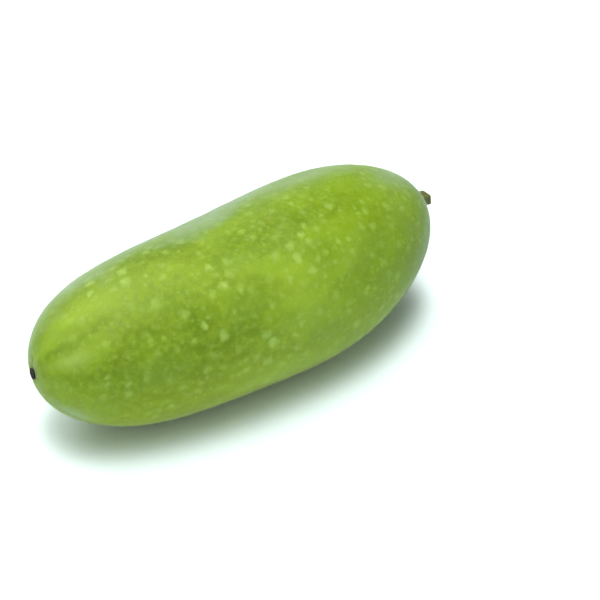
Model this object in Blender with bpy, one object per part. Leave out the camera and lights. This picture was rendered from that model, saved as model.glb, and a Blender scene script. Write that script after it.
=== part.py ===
"""A winter melon, or wax gourd, as picked: it lies on its side on its own flattened rest spot.

Run it with blender --background --python part.py, or from Blender's text editor.

The fruit is a bent and slightly tapered barrel, swept along an arc. The cut stub of its
stalk stands in a socket at the thick end, and a small dried scar sits in a smaller socket
at the narrow end. All sizes are in metres. +X runs from the scar to the stub and +Z is up.
The origin is under the middle of the whole object, on the ground.
"""

from math import pi, radians

import bmesh
import bpy
import numpy as np
from mathutils import Matrix, Vector

# The fruit's body
FRUIT_LENGTH = 0.340  # along its bent axis, from end to end
FRUIT_GIRTH = 0.130  # diameter of the untapered barrel
FRUIT_TAPER = 0.09  # share by which the stem end is wider, and the blossom end narrower
FRUIT_BEND = radians(24)  # total turn of the axis, in the horizontal plane
FRUIT_TILT = radians(0.5)  # the narrow end hangs lower, as the fruit comes to rest
BLOSSOM_FULLNESS = 3.7  # how squarely each end is rounded: 2 is an ellipse
STEM_FULLNESS = 2.25
REST_DEPTH = 0.0012  # how far the underside is pressed flat where the fruit lies

# Soft unevenness of the body, as waves. Each row gives a wave's height as a share of the
# radius, its turns for each unit of x and for each turn round the body, and where it starts
SWELLS = (
    (0.013, 2.6, 1, 4.26),  # the body wanders to one side and back
    (0.014, 4.4, -2, 1.23),  # it is a little oval, and the oval turns along it
    (0.005, 7.3, 3, 0.37),  # slow swells along and around it
    (0.002, 0.7, 3, 4.97),  # three faint lobes, one for each seed chamber
)
SWELL_FADE = 0.12  # the part of x, at each end, over which the waves die away

# Three shallow furrows that run up from the scar, between the lobes
FURROWS = 3
FURROW_DEPTH = 0.0007
FURROW_HALF_WIDTH = 0.0048
FURROW_ANGLE = radians(119)  # round the body, where the first one crosses FURROW_PLACE
FURROW_PLACE = -0.76
FURROW_TWIST = radians(85)  # turn for each unit of x
FURROW_START = (-0.995, -0.945)  # the x where they begin, and where they are full
FURROW_END = (-0.85, -0.60)  # the x where they begin to fade, and where they are gone

# The dimples at the two ends of the fruit, and the sockets in them
STEM_DIMPLE = (0.0035, 0.019)  # depth, radius
BLOSSOM_DIMPLE = (0.0016, 0.010)
STEM_SOCKET = (0.0082, 0.0040)  # radius, depth
BLOSSOM_SOCKET = (0.0034, 0.0016)
SEAT_GAP = 0.0003  # clearance between a socket and what stands in it
DIMPLE_FROM = 0.5  # the x from which the ends may sink towards the middle

# The cut stub of the stalk
STUB_LENGTH = 0.0200  # that stands out of the fruit
STUB_RADIUS = 0.0054
STUB_FOOT_REACH = 0.0027  # height over which the flare of the foot falls to a third
STUB_HEIGHTS = (0.08, 0.18, 0.30, 0.44, 0.60, 0.76, 0.90, 1.0)  # of its rings, as shares
STUB_END_SWELL = 0.06  # share by which the cut end is thicker than the shaft
STUB_END_FROM = 0.7  # share of the height from which it thickens
STUB_RIBS = 5
STUB_RIB_SHARE = 0.085  # height of a rib, as a share of the stub's radius
STUB_RIB_FULL = 0.3  # share of the height by which the ribs are full
STUB_RIB_TURN = 0.4
STUB_LEAN = (-0.0032, -0.0019)  # drift of the cut end along Y and Z
CUT_LIP = 0.82  # where the cut face begins to sink, as a share of its radius
CUT_BOWL = 0.45  # and where it has sunk by CUT_HOLLOW
CUT_HOLLOW = 0.0011
PITH_HOLLOW = 0.00143  # how far the drying pith has sunk in the middle

# The dried scar at the narrow end
SCAR_RADIUS = 0.0038
SCAR_HEIGHT = 0.0019
SCAR_HOLLOW = 0.0010
SCAR_POINTS = 5
SCAR_POINT_SHARE = 0.10
SCAR_POINT_TURN = 1.1
SCAR_PROFILE = ((1.0, 0.45), (0.93, 0.80), (0.66, 1.0))  # shares of its radius and height
SCAR_EYE = (0.34, 0.8)  # share of the radius, and of the hollow, at the edge of its eye

# How finely the surfaces are divided
FRUIT_RINGS = 54
FRUIT_SIDES = 96
STUB_SIDES = 40
SCAR_SIDES = 30

FRUIT_GREEN = (0.27, 0.44, 0.055, 1.0)
STUB_OLIVE = (0.12, 0.13, 0.035, 1.0)
SCAR_BROWN = (0.020, 0.014, 0.007, 1.0)


def clear_scene():
    for thing in list(bpy.data.objects):
        bpy.data.objects.remove(thing, do_unlink=True)


def make_material(name, colour, roughness):
    """A plain Principled material in the part's own colour."""
    material = bpy.data.materials.new(name)
    material.use_nodes = True
    shader = material.node_tree.nodes["Principled BSDF"]
    shader.inputs["Base Color"].default_value = colour
    shader.inputs["Roughness"].default_value = roughness
    shader.inputs["Metallic"].default_value = 0.0
    return material


def smooth_step(share):
    """0 below 0, 1 above 1, and an even S between them."""
    t = np.clip(share, 0.0, 1.0)
    return t * t * (3.0 - 2.0 * t)


def axis_frame(x):
    """Place and directions of the bent axis at x, from -1 at the scar to 1 at the stub.

    The axis is an arc in the horizontal plane, with both ends turned towards +Y.
    Returns the point on the axis, the direction along it and the sideways direction.
    """
    bend_radius = FRUIT_LENGTH / FRUIT_BEND
    turn = np.asarray(x, float) * FRUIT_BEND / 2
    zero = np.zeros_like(turn)
    point = np.stack([bend_radius * np.sin(turn), bend_radius * (1 - np.cos(turn)), zero], -1)
    along = np.stack([np.cos(turn), np.sin(turn), zero], -1)
    sideways = np.stack([-np.sin(turn), np.cos(turn), zero], -1)
    return point, along, sideways


def body_radius(x):
    """Radius of the barrel at x: full in the middle, rounded at the ends, and tapered."""
    fullness = np.where(x < 0, BLOSSOM_FULLNESS, STEM_FULLNESS)
    rounding = np.sqrt(np.clip(1 - np.abs(x) ** fullness, 0, 1))
    return FRUIT_GIRTH / 2 * rounding * (1 + FRUIT_TAPER * x)


def body_swell(x, angle):
    """Share by which the body stands out from round: slow waves that fade at the ends."""
    waves = sum(
        height * np.sin(along * x + around * angle + start)
        for height, along, around, start in SWELLS
    )
    return 1 + smooth_step((1 - np.abs(x)) / SWELL_FADE) * waves


def furrow_depth(x, angle, radius):
    """How deep the furrows are here: three bell-shaped grooves that fade along the fruit."""
    first = FURROW_ANGLE + FURROW_TWIST * (x - FURROW_PLACE)
    turn = np.mod(angle - first + pi / FURROWS, 2 * pi / FURROWS) - pi / FURROWS
    groove = np.exp(-((turn * radius / FURROW_HALF_WIDTH) ** 2))
    (start, full), (fade, gone) = FURROW_START, FURROW_END
    reach = smooth_step((x - start) / (full - start)) * smooth_step((gone - x) / (gone - fade))
    return FURROW_DEPTH * groove * reach


def ring_angles(sides):
    return np.arange(sides) * 2 * pi / sides


def swept_ring(x, inset, radius, angle):
    """One ring round the bent axis: at x, moved by inset along the axis, with that radius."""
    point, along, sideways = axis_frame(x)
    out = np.cos(angle)[:, None] * sideways + np.sin(angle)[:, None] * np.array([0.0, 0.0, 1.0])
    return point + along * inset + out * np.broadcast_to(radius, angle.shape)[:, None]


def place_of_radius(radius, end):
    """The x, near the end given as -1 or 1, where the body has this radius."""
    low, high = DIMPLE_FROM, 1.0
    for _ in range(60):
        middle = (low + high) / 2
        if body_radius(np.array(end * middle)) > radius:
            low = middle
        else:
            high = middle
    return end * low


def dimple(x, radius):
    """How far the surface sinks along the axis, towards the middle, at this distance from it."""
    if abs(x) < DIMPLE_FROM:
        return 0.0
    depth, reach = STEM_DIMPLE if x > 0 else BLOSSOM_DIMPLE
    return -np.sign(x) * depth * np.exp(-((radius / reach) ** 2))


def loft(name, rings, material, first_tip, last_tip):
    """A closed solid through rings of equal count, with a fan to a tip point at each end."""
    sides = len(rings[0])
    mesh = bpy.data.meshes.new(name)
    made = bmesh.new()
    rows = [[made.verts.new(point) for point in ring] for ring in rings]
    for row, following in zip(rows, rows[1:]):
        for i in range(sides):
            j = (i + 1) % sides
            made.faces.new((row[i], row[j], following[j], following[i]))
    for row, tip, order in ((rows[0], first_tip, -1), (rows[-1], last_tip, 1)):
        centre = made.verts.new(tip)
        for i in range(sides):
            j = (i + 1) % sides
            made.faces.new((row[i], row[j], centre)[::order])
    bmesh.ops.recalc_face_normals(made, faces=made.faces)
    made.to_mesh(mesh)
    made.free()
    mesh.materials.append(material)
    solid = bpy.data.objects.new(name, mesh)
    bpy.context.scene.collection.objects.link(solid)
    mesh.shade_smooth()
    mesh.set_sharp_from_angle(angle=radians(40))
    return solid


def make_fruit():
    """The fruit's body, with a socket for the stub at one end and for the scar at the other."""
    angle = ring_angles(FRUIT_SIDES)
    stem_radius, stem_depth = STEM_SOCKET
    scar_radius, scar_depth = BLOSSOM_SOCKET
    first, last = place_of_radius(scar_radius, -1), place_of_radius(stem_radius, 1)
    # even steps of the sine's angle crowd the rings towards the rounded ends
    steps = np.sin(np.linspace(np.arcsin(first), np.arcsin(last), FRUIT_RINGS))
    rings = []
    for x in steps:
        radius = body_radius(x)
        skin = radius * body_swell(x, angle) - furrow_depth(x, angle, radius)
        rings.append(swept_ring(x, dimple(x, radius), skin, angle))
    floor_in = dimple(first, scar_radius) + scar_depth
    floor_out = dimple(last, stem_radius) - stem_depth
    rings.insert(0, swept_ring(first, floor_in, scar_radius, angle))
    rings.append(swept_ring(last, floor_out, stem_radius, angle))
    first_point, first_along, _ = axis_frame(first)
    last_point, last_along, _ = axis_frame(last)
    return loft(
        "fruit",
        rings,
        make_material("fruit_skin", FRUIT_GREEN, 0.5),
        first_point + first_along * floor_in,
        last_point + last_along * floor_out,
    )


def make_stem_stub():
    """The ribbed stub of the stalk: a foot flared out to its socket, and a sunken cut end."""
    socket_radius, socket_depth = STEM_SOCKET
    seat = place_of_radius(socket_radius, 1)
    rim = dimple(seat, socket_radius)
    foot_radius = socket_radius - SEAT_GAP
    root = rim - socket_depth + SEAT_GAP
    angle = ring_angles(STUB_SIDES)
    lean = np.array([0.0, *STUB_LEAN])
    rings = [swept_ring(seat, root, foot_radius, angle), swept_ring(seat, rim, foot_radius, angle)]
    rib = np.cos(STUB_RIBS * angle + STUB_RIB_TURN)
    for share in STUB_HEIGHTS:
        height = share * STUB_LENGTH
        flare = np.exp(-height / STUB_FOOT_REACH)
        swell = 1 + STUB_END_SWELL * smooth_step((share - STUB_END_FROM) / (1 - STUB_END_FROM))
        shaft = STUB_RADIUS * swell + (foot_radius - STUB_RADIUS) * flare
        ribs = 1 + STUB_RIB_SHARE * smooth_step(share / STUB_RIB_FULL) * rib
        rings.append(swept_ring(seat, rim + height, shaft * ribs, angle) + lean * share**2)
    rim_of_cut = rings[-1]
    point, along, _ = axis_frame(seat)
    cut_centre = point + along * (rim + STUB_LENGTH) + lean
    lip = cut_centre + (rim_of_cut - cut_centre) * CUT_LIP
    bowl = cut_centre + (rim_of_cut - cut_centre) * CUT_BOWL - along * CUT_HOLLOW
    rings += [lip, bowl]
    return loft(
        "stem_stub",
        rings,
        make_material("stem_stub_bark", STUB_OLIVE, 0.8),
        point + along * root,
        cut_centre - along * PITH_HOLLOW,
    )


def make_blossom_scar():
    """The dried scar: a low puckered knob with a hollow middle, on a root in its socket."""
    socket_radius, socket_depth = BLOSSOM_SOCKET
    seat = place_of_radius(socket_radius, -1)
    rim = dimple(seat, socket_radius)
    root_radius = socket_radius - SEAT_GAP
    angle = ring_angles(SCAR_SIDES)
    point, along, _ = axis_frame(seat)
    pucker = 1 + SCAR_POINT_SHARE * np.cos(SCAR_POINTS * angle + SCAR_POINT_TURN)
    eye_radius, eye_depth = SCAR_EYE
    # inwards along +X, so heights above the skin are taken off
    profile = [(root_radius, socket_depth - SEAT_GAP), (root_radius, -SEAT_GAP)]
    profile += [(SCAR_RADIUS * r * pucker, -SCAR_HEIGHT * h) for r, h in SCAR_PROFILE]
    profile.append((SCAR_RADIUS * eye_radius, -SCAR_HEIGHT + SCAR_HOLLOW * eye_depth))
    rings = [swept_ring(seat, rim + inset, radius, angle) for radius, inset in profile]
    return loft(
        "blossom_scar",
        rings,
        make_material("dried_scar", SCAR_BROWN, 0.9),
        point + along * (rim + socket_depth - SEAT_GAP),
        point + along * (rim - SCAR_HEIGHT + SCAR_HOLLOW),
    )


def world_points(pieces):
    """Every vertex of these pieces, where their parent puts them."""
    bpy.context.view_layer.update()
    points = []
    for piece in pieces:
        local = np.array([vertex.co for vertex in piece.data.vertices])
        turned = np.array(piece.matrix_world)
        points.append(local @ turned[:3, :3].T + turned[:3, 3])
    return np.concatenate(points)


def lay_down(fruit, pieces):
    """Tilts the pieces as they lie, centres them, and lets the fruit sink to its rest spot."""
    lie = bpy.data.objects.new("lie", None)
    bpy.context.scene.collection.objects.link(lie)
    lie.matrix_world = Matrix.Rotation(-FRUIT_TILT, 4, "Y")
    for piece in pieces:
        piece.parent = lie
    points = world_points(pieces)
    middle = (points.min(axis=0) + points.max(axis=0)) / 2
    lowest = world_points([fruit])[:, 2].min()
    lie.location = Vector((-middle[0], -middle[1], -lowest - REST_DEPTH))


def press_rest_spot(fruit):
    """Cuts the underside level with the ground, so that the fruit rests on a flat spot."""
    block_size = Vector((FRUIT_LENGTH, FRUIT_GIRTH, FRUIT_GIRTH / 4))
    made = bmesh.new()
    bmesh.ops.create_cube(made, size=1.0)
    bmesh.ops.scale(made, vec=block_size, verts=made.verts)
    mesh = bpy.data.meshes.new("ground_block")
    made.to_mesh(mesh)
    made.free()
    block = bpy.data.objects.new("ground_block", mesh)
    bpy.context.scene.collection.objects.link(block)
    block.location = (0, 0, -block_size.z / 2)
    block.hide_render = True
    block.display_type = "WIRE"
    cut = fruit.modifiers.new("rest_spot", "BOOLEAN")
    cut.operation = "DIFFERENCE"
    cut.solver = "EXACT"
    cut.object = block


def main():
    clear_scene()
    fruit = make_fruit()
    pieces = [fruit, make_stem_stub(), make_blossom_scar()]
    lay_down(fruit, pieces)
    press_rest_spot(fruit)


main()
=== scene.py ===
# A long winter melon on a white ground: its skin, its down, its stalk stub and its dried scar,
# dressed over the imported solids. All sizes are in metres.

import math

import bpy
import numpy as np
from mathutils import Matrix, Vector


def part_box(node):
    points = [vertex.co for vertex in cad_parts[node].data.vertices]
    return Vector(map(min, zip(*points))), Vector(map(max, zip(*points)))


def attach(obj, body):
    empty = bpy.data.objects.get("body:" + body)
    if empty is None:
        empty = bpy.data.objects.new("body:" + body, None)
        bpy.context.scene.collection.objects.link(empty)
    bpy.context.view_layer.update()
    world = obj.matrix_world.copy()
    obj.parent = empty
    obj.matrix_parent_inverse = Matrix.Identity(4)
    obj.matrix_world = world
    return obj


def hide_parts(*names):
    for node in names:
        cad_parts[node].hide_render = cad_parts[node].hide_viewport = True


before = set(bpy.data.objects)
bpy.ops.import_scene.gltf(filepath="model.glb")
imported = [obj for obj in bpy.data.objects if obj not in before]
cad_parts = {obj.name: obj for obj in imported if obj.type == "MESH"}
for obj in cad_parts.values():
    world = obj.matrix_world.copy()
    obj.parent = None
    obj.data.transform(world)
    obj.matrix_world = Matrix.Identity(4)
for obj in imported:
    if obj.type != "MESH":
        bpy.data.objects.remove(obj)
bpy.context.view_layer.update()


print("frame loaded:", sorted(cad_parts))


# Helpers for shapes

def smoothStep(share):
    # 0 below 0, 1 above 1, and 3 squares less 2 cubes between
    t = np.clip(share, 0.0, 1.0)
    return t * t * (3.0 - 2.0 * t)


def unit(vectors):
    # each vector over its own length, which is kept off 0
    return vectors / np.maximum(np.linalg.norm(vectors, axis=-1, keepdims=True), 1e-12)


def turnAngles(sides):
    # even angles once round, as one row
    return np.linspace(0, 2 * math.pi, sides, endpoint=False)[None]


def addMesh(name, points, faces, material, uses=None):
    # points is n by 3, faces is a list of index arrays that are each m by 3 or m by 4, and
    # uses holds the values that the material reads at each point
    mesh = bpy.data.meshes.new(name)
    corners = np.concatenate([part.reshape(-1) for part in faces]).astype(np.int32)
    counts = np.concatenate([np.full(len(part), part.shape[1]) for part in faces])
    starts = np.concatenate([[0], np.cumsum(counts)[:-1]])
    mesh.vertices.add(len(points))
    mesh.vertices.foreach_set("co", np.asarray(points, np.float32).reshape(-1))
    mesh.loops.add(len(corners))
    mesh.loops.foreach_set("vertex_index", corners)
    mesh.polygons.add(len(counts))
    mesh.polygons.foreach_set("loop_start", starts.astype(np.int32))
    mesh.polygons.foreach_set("use_smooth", np.ones(len(counts), bool))
    for attributeName, values in (uses or {}).items():
        kind, field = ("FLOAT_VECTOR", "vector") if values.ndim == 2 else ("FLOAT", "value")
        attribute = mesh.attributes.new(attributeName, kind, "POINT")
        attribute.data.foreach_set(field, np.asarray(values, np.float32).reshape(-1))
    mesh.update(calc_edges=True)
    mesh.validate()
    mesh.materials.append(material)
    piece = bpy.data.objects.new(name, mesh)
    bpy.context.scene.collection.objects.link(piece)
    return piece


def closedTube(grid, tips, alongAxis):
    # the points and faces of a grid of rings, rows by sides, whose two ends fan in to a tip each.
    # The rings run along their axis, or against it where alongAxis is False.
    rows, sides = grid.shape[:2]
    row, side = np.meshgrid(np.arange(rows - 1), np.arange(sides), indexing="ij")
    a = row * sides + side
    b = row * sides + (side + 1) % sides
    wall = np.stack([a, a + sides, b + sides, b], -1).reshape(-1, 4)
    first, following = np.arange(sides), (np.arange(sides) + 1) % sides
    last = (rows - 1) * sides
    near = np.stack([first, following, np.full(sides, rows * sides)], -1)
    far = np.stack([last + following, last + first, np.full(sides, rows * sides + 1)], -1)
    faces = [wall, near, far] if alongAxis else [wall[:, ::-1], near[:, ::-1], far[:, ::-1]]
    return np.concatenate([grid.reshape(-1, 3), tips]), faces


def withTips(values, atFirst, atLast):
    # a grid of values for the rings, as one row, with the values of the two tips after it
    if values.ndim == 3:
        return np.concatenate([values.reshape(-1, 3), [atFirst], [atLast]])
    return np.append(values.reshape(-1), [atFirst, atLast])


# The melon's form. It repeats the form of the solids: a tapered barrel on a bent axis.
# x runs along that axis, from -1 at the scar to 1 at the stub.

melon = {
    "length": 0.340,
    "girth": 0.130,
    "taper": 0.09,
    "bend": math.radians(24),
    "tilt": math.radians(0.5),
    "blossomFullness": 3.7,
    "stemFullness": 2.25,
    # slow waves: height as a share of the radius, radians for each unit of x, waves round, start
    "swells": ((0.013, 2.6, 1, 4.26), (0.014, 4.4, -2, 1.23), (0.005, 7.3, 3, 0.37), (0.002, 0.7, 3, 4.97)),
    "swellFade": 0.12,
    "furrows": 3,
    "furrowDepth": 0.0007,
    "furrowHalfWidth": 0.0048,
    "furrowAngle": math.radians(119),  # of the first one, at furrowPlace
    "furrowPlace": -0.76,
    "furrowTwist": math.radians(85),
    "furrowStart": (-0.995, -0.945),
    "furrowEnd": (-0.85, -0.60),
    "dimpleFrom": 0.5,
    "stemDimple": (0.0035, 0.019),  # depth, reach
    "blossomDimple": (0.0016, 0.010),
    "stemSocket": (0.0082, 0.0040),  # radius, depth
    "blossomSocket": (0.0034, 0.0016),
    # finer than the solids
    "pleats": (5, 0.4, 0.00050, 0.0060),  # round the stub: count, turn, height, reach
    "wrinkles": (13, 1.9, 0.00012, 0.0030),  # round the scar
    "dents": {
        "seed": 11,
        "waves": 14,
        "turns": (4, 26),  # round the body: fewest, and one above the most
        "lengths": (0.014, 0.060),  # along it: shortest, longest
        "height": 0.00028,
        "fade": 0.06,
    },
    "rows": 236,
    "sides": 324,
    "tableSteps": 20000,  # in the table that gives the x of a radius
    "probe": (400, 720),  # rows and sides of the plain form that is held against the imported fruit
}


def axisFrame(x):
    # the axis is an arc in the ground plane: its point, its direction and its sideways direction
    bendRadius = melon["length"] / melon["bend"]
    turn = np.asarray(x, float) * melon["bend"] / 2
    zero = np.zeros_like(turn)
    point = np.stack([bendRadius * np.sin(turn), bendRadius * (1 - np.cos(turn)), zero], -1)
    along = np.stack([np.cos(turn), np.sin(turn), zero], -1)
    sideways = np.stack([-np.sin(turn), np.cos(turn), zero], -1)
    return point, along, sideways


def barrelRadius(x):
    # half the girth, times the root of 1 minus a power of x, times the taper
    fullness = np.where(x < 0, melon["blossomFullness"], melon["stemFullness"])
    rounding = np.sqrt(np.clip(1 - np.abs(x) ** fullness, 0, 1))
    return melon["girth"] / 2 * rounding * (1 + melon["taper"] * x)


def placeOfRadius(radius, end):
    # the x near that end, -1 or 1, where the barrel has this radius, read from a fine table
    table = np.sin(np.linspace(math.asin(melon["dimpleFrom"]), math.pi / 2, melon["tableSteps"]))
    return end * np.interp(-np.asarray(radius, float), -barrelRadius(end * table), table)


def bodySwell(x, angle):
    # 1 plus slow sine waves along and round the body, which fade at the ends
    waves = sum(height * np.sin(along * x + around * angle + start)
                for height, along, around, start in melon["swells"])
    return 1 + smoothStep((1 - np.abs(x)) / melon["swellFade"]) * waves


def furrowGroove(x, angle, radius):
    # from 0 to 1: three bells over the distance round, which start at the scar and fade along
    first = melon["furrowAngle"] + melon["furrowTwist"] * (x - melon["furrowPlace"])
    step = 2 * math.pi / melon["furrows"]
    turn = np.mod(angle - first + step / 2, step) - step / 2
    groove = np.exp(-((turn * radius / melon["furrowHalfWidth"]) ** 2))
    (start, full), (fade, gone) = melon["furrowStart"], melon["furrowEnd"]
    return groove * smoothStep((x - start) / (full - start)) * smoothStep((gone - x) / (gone - fade))


def dimpleDepth(x, radius):
    # how far the ends sink towards the middle: a bell over the distance from the axis
    stemDepth, stemReach = melon["stemDimple"]
    blossomDepth, blossomReach = melon["blossomDimple"]
    atStem = -stemDepth * np.exp(-((radius / stemReach) ** 2)) * (x > melon["dimpleFrom"])
    atBlossom = blossomDepth * np.exp(-((radius / blossomReach) ** 2)) * (x < -melon["dimpleFrom"])
    return atStem + atBlossom


def endFolds(x, angle, radius):
    # ridges that run out from the two sockets: a cosine round the axis, times a distance from
    # the socket's rim that first grows and then dies away
    folds = 0.0
    for end, (count, turn, height, reach), socket in ((1, melon["pleats"], melon["stemSocket"]),
                                                      (-1, melon["wrinkles"], melon["blossomSocket"])):
        away = np.maximum(radius - socket[0], 0) / reach
        fold = height * np.cos(count * angle + turn) * away * np.exp(1 - away)
        folds = folds + end * fold * (end * x > melon["dimpleFrom"])
    return folds


def fineDents(x, angle):
    # shallow dents: seeded sine waves over the straightened skin, averaged, which fade at the ends
    dents = melon["dents"]
    draw = np.random.default_rng(dents["seed"])
    along = x * melon["length"] / 2
    waves = np.zeros(np.broadcast(x, angle).shape)
    for _ in range(dents["waves"]):
        turns = draw.integers(*dents["turns"])
        wave = 2 * math.pi / draw.uniform(*dents["lengths"])
        waves = waves + np.sin(along * wave + turns * angle + draw.uniform(0, 2 * math.pi))
    return dents["height"] * waves / dents["waves"] * smoothStep((1 - np.abs(x)) / dents["fade"])


def sweptPoints(x, inset, radius, angle):
    # points round the bent axis at x, moved by inset along it; all arguments broadcast together
    x, inset, radius, angle = np.broadcast_arrays(x, inset, radius, angle)
    point, along, sideways = axisFrame(x)
    out = np.cos(angle)[..., None] * sideways + np.sin(angle)[..., None] * np.array([0.0, 0.0, 1.0])
    return point + along * inset[..., None] + out * radius[..., None]


def formPoints(x, angle, fine):
    # the skin: the barrel's radius swollen, less the furrows, with its ends sunk along the axis
    radius = barrelRadius(x)
    surface = radius * bodySwell(x, angle) - melon["furrowDepth"] * furrowGroove(x, angle, radius)
    inset = dimpleDepth(x, radius)
    if fine:
        surface = surface + fineDents(x, angle)
        inset = inset + endFolds(x, angle, radius)
    return sweptPoints(x, inset, surface, angle)


def tilted(points):
    # turned about the Y axis, as the fruit lies
    c, s = math.cos(melon["tilt"]), math.sin(melon["tilt"])
    x, y, z = points[..., 0], points[..., 1], points[..., 2]
    return np.stack([x * c - z * s, y, x * s + z * c], -1)


def evenRows(count):
    # even steps of the sine's angle, which crowd the rows towards the rounded ends
    return np.sin(np.linspace(math.asin(blossomEnd), math.asin(stemEnd), count))


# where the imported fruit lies, against the form worked out round the middle of its own axis
blossomEnd = float(placeOfRadius(melon["blossomSocket"][0], -1))
stemEnd = float(placeOfRadius(melon["stemSocket"][0], 1))
probeRows, probeSides = melon["probe"]
probe = formPoints(evenRows(probeRows)[:, None], turnAngles(probeSides), False)
probe = tilted(probe).reshape(-1, 3)
fruitLow, fruitHigh = (np.array(corner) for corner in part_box("fruit"))
shift = (fruitLow + fruitHigh) / 2 - (probe.min(0) + probe.max(0)) / 2
shift[2] = fruitHigh[2] - probe[:, 2].max()
print("form placed at", shift.round(5), "and sinks by", (probe[:, 2].min() + shift[2]).round(5))


def laid(points):
    # tilted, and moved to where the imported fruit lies
    return tilted(points) + shift


# Helpers for materials, and the effects that several of them share

class Graph:
    # adds nodes to one node tree and links them: a socket is linked, anything else is a value
    def __init__(self, tree):
        self.tree = tree

    def node(self, kind, settings=None, **sockets):
        made = self.tree.nodes.new(kind)
        for key, value in (settings or {}).items():
            setattr(made, key, value)
        for key, value in sockets.items():
            self.feed(made, key.replace("_", " "), value)
        return made

    def feed(self, made, key, value):
        place = made.inputs[int(key[2:]) if key.startswith("at") else key]
        if isinstance(value, bpy.types.NodeSocket):
            self.tree.links.new(value, place)
        else:
            place.default_value = value

    def math(self, operation, first, second=0.0):
        return self.node("ShaderNodeMath", {"operation": operation}, at0=first, at1=second).outputs[0]

    def times(self, first, *others):
        product = first
        for other in others:
            product = self.math("MULTIPLY", product, other)
        return product

    def atLeast(self, lowest, mask):
        # the mask, squeezed to run from the lowest value to 1
        return self.math("ADD", self.times(mask, 1 - lowest), lowest)

    def vector(self, operation, first, output="Vector", **sockets):
        made = self.node("ShaderNodeVectorMath", {"operation": operation}, at0=first, **sockets)
        return made.outputs[output]

    def blend(self, share, first, second):
        made = self.node("ShaderNodeMix", {"data_type": "RGBA"})
        self.feed(made, "at0", share)
        self.feed(made, "at6", first)
        self.feed(made, "at7", second)
        return made.outputs[2]

    def span(self, value, low, high, toLow=0.0, toHigh=1.0):
        settings = {"interpolation_type": "SMOOTHSTEP"}
        made = self.node("ShaderNodeMapRange", settings, Value=value)
        for key, number in zip(("at1", "at2", "at3", "at4"), (low, high, toLow, toHigh)):
            self.feed(made, key, number)
        return made.outputs[0]

    def noise(self, vector, scale, detail, output="Fac"):
        return self.node("ShaderNodeTexNoise", Vector=vector, Scale=scale, Detail=detail).outputs[output]

    def place(self, vector, scale, move=(0, 0, 0)):
        return self.node("ShaderNodeMapping", Vector=vector, Scale=scale, Location=move).outputs[0]

    def read(self, name, output="Fac"):
        return self.node("ShaderNodeAttribute", {"attribute_name": name}).outputs[output]

    def group(self, tree, **sockets):
        made = self.tree.nodes.new("ShaderNodeGroup")
        made.node_tree = tree
        for key, value in sockets.items():
            self.feed(made, key, value)
        return made.outputs[0]

    def coats(self, under, paints, masks):
        # colours laid over each other in order, each as strongly as its own weight times its mask
        tone = under
        for name, (paint, weight) in paints.items():
            tone = self.blend(self.times(masks[name], weight), tone, paint)
        return tone

    def relief(self, height, strength, distance):
        return self.node("ShaderNodeBump", Strength=strength, Distance=distance, Height=height).outputs[0]


def newGroup(name, inputs, output):
    # an empty node group with a Vector input, number inputs with their values, and one output
    tree = bpy.data.node_groups.new(name, "ShaderNodeTree")
    tree.interface.new_socket("Vector", in_out="INPUT", socket_type="NodeSocketVector")
    for label, value in inputs.items():
        socket = tree.interface.new_socket(label, in_out="INPUT", socket_type="NodeSocketFloat")
        socket.default_value = value
    tree.interface.new_socket(output, in_out="OUTPUT", socket_type="NodeSocketFloat")
    given = tree.nodes.new("NodeGroupInput").outputs
    out = tree.nodes.new("NodeGroupOutput").inputs[output]
    return tree, Graph(tree), given, out


effects = {
    # spots
    "bending": (2.3, 1.0),  # the noise that bends them: scale against their spacing, detail
    "radius": (0.65, 0.8),  # the smallest, and what chance adds, as shares of the given radius
    "faintest": 0.4,
    "apart": 0.40,  # how much farther off the second point is where a spot is whole
    # grain
    "fineDetail": 3.0,
    "coarseDetail": 2.0,
    "coarseScale": 0.23,  # of the coarse noise, as a share of the fine one's
}


def makeClouds():
    # soft patches: noise of one size, stretched so that Low is 0 and High is 1
    inputs = {"Size": 0.02, "Detail": 2.0, "Low": 0.4, "High": 0.6}
    tree, graph, given, out = newGroup("clouds", inputs, "Mask")
    scale = graph.math("DIVIDE", 1.0, given["Size"])
    noise = graph.noise(given["Vector"], scale, given["Detail"])
    tree.links.new(graph.span(noise, given["Low"], given["High"]), out)
    return tree


def makeSpots():
    # scattered soft dots: an S curve over the distance to the nearest random point, with a random
    # radius and strength, that dies away where a second point is as near; noise bends them all
    inputs = {"Spacing": 0.01, "Radius": 0.3, "Share": 0.5, "Wobble": 0.15}
    tree, graph, given, out = newGroup("spots", inputs, "Mask")
    scale = graph.math("DIVIDE", 1.0, given["Spacing"])
    scaled = graph.vector("SCALE", given["Vector"], Scale=scale)
    wobble = graph.noise(scaled, *effects["bending"], output="Color")
    centred = graph.vector("SUBTRACT", wobble, at1=(0.5, 0.5, 0.5))
    warped = graph.vector("ADD", scaled, at1=graph.vector("SCALE", centred, Scale=given["Wobble"]))
    nearest = graph.node("ShaderNodeTexVoronoi", Vector=warped, Scale=1.0)
    second = graph.node("ShaderNodeTexVoronoi", {"feature": "F2"}, Vector=warped, Scale=1.0)
    picks = graph.node("ShaderNodeSeparateColor", Color=nearest.outputs["Color"])
    smallest, added = effects["radius"]
    size = graph.math("ADD", graph.times(picks.outputs[1], added), smallest)
    radius = graph.times(given["Radius"], size)
    dot = graph.span(graph.math("DIVIDE", nearest.outputs["Distance"], radius), 1.0, 0.0)
    farther = graph.math("SUBTRACT", second.outputs["Distance"], nearest.outputs["Distance"])
    lone = graph.span(farther, 0.0, effects["apart"])
    shown = graph.math("LESS_THAN", picks.outputs[0], given["Share"])
    strength = graph.atLeast(effects["faintest"], picks.outputs[2])
    tree.links.new(graph.times(dot, lone, shown, strength), out)
    return tree


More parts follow.
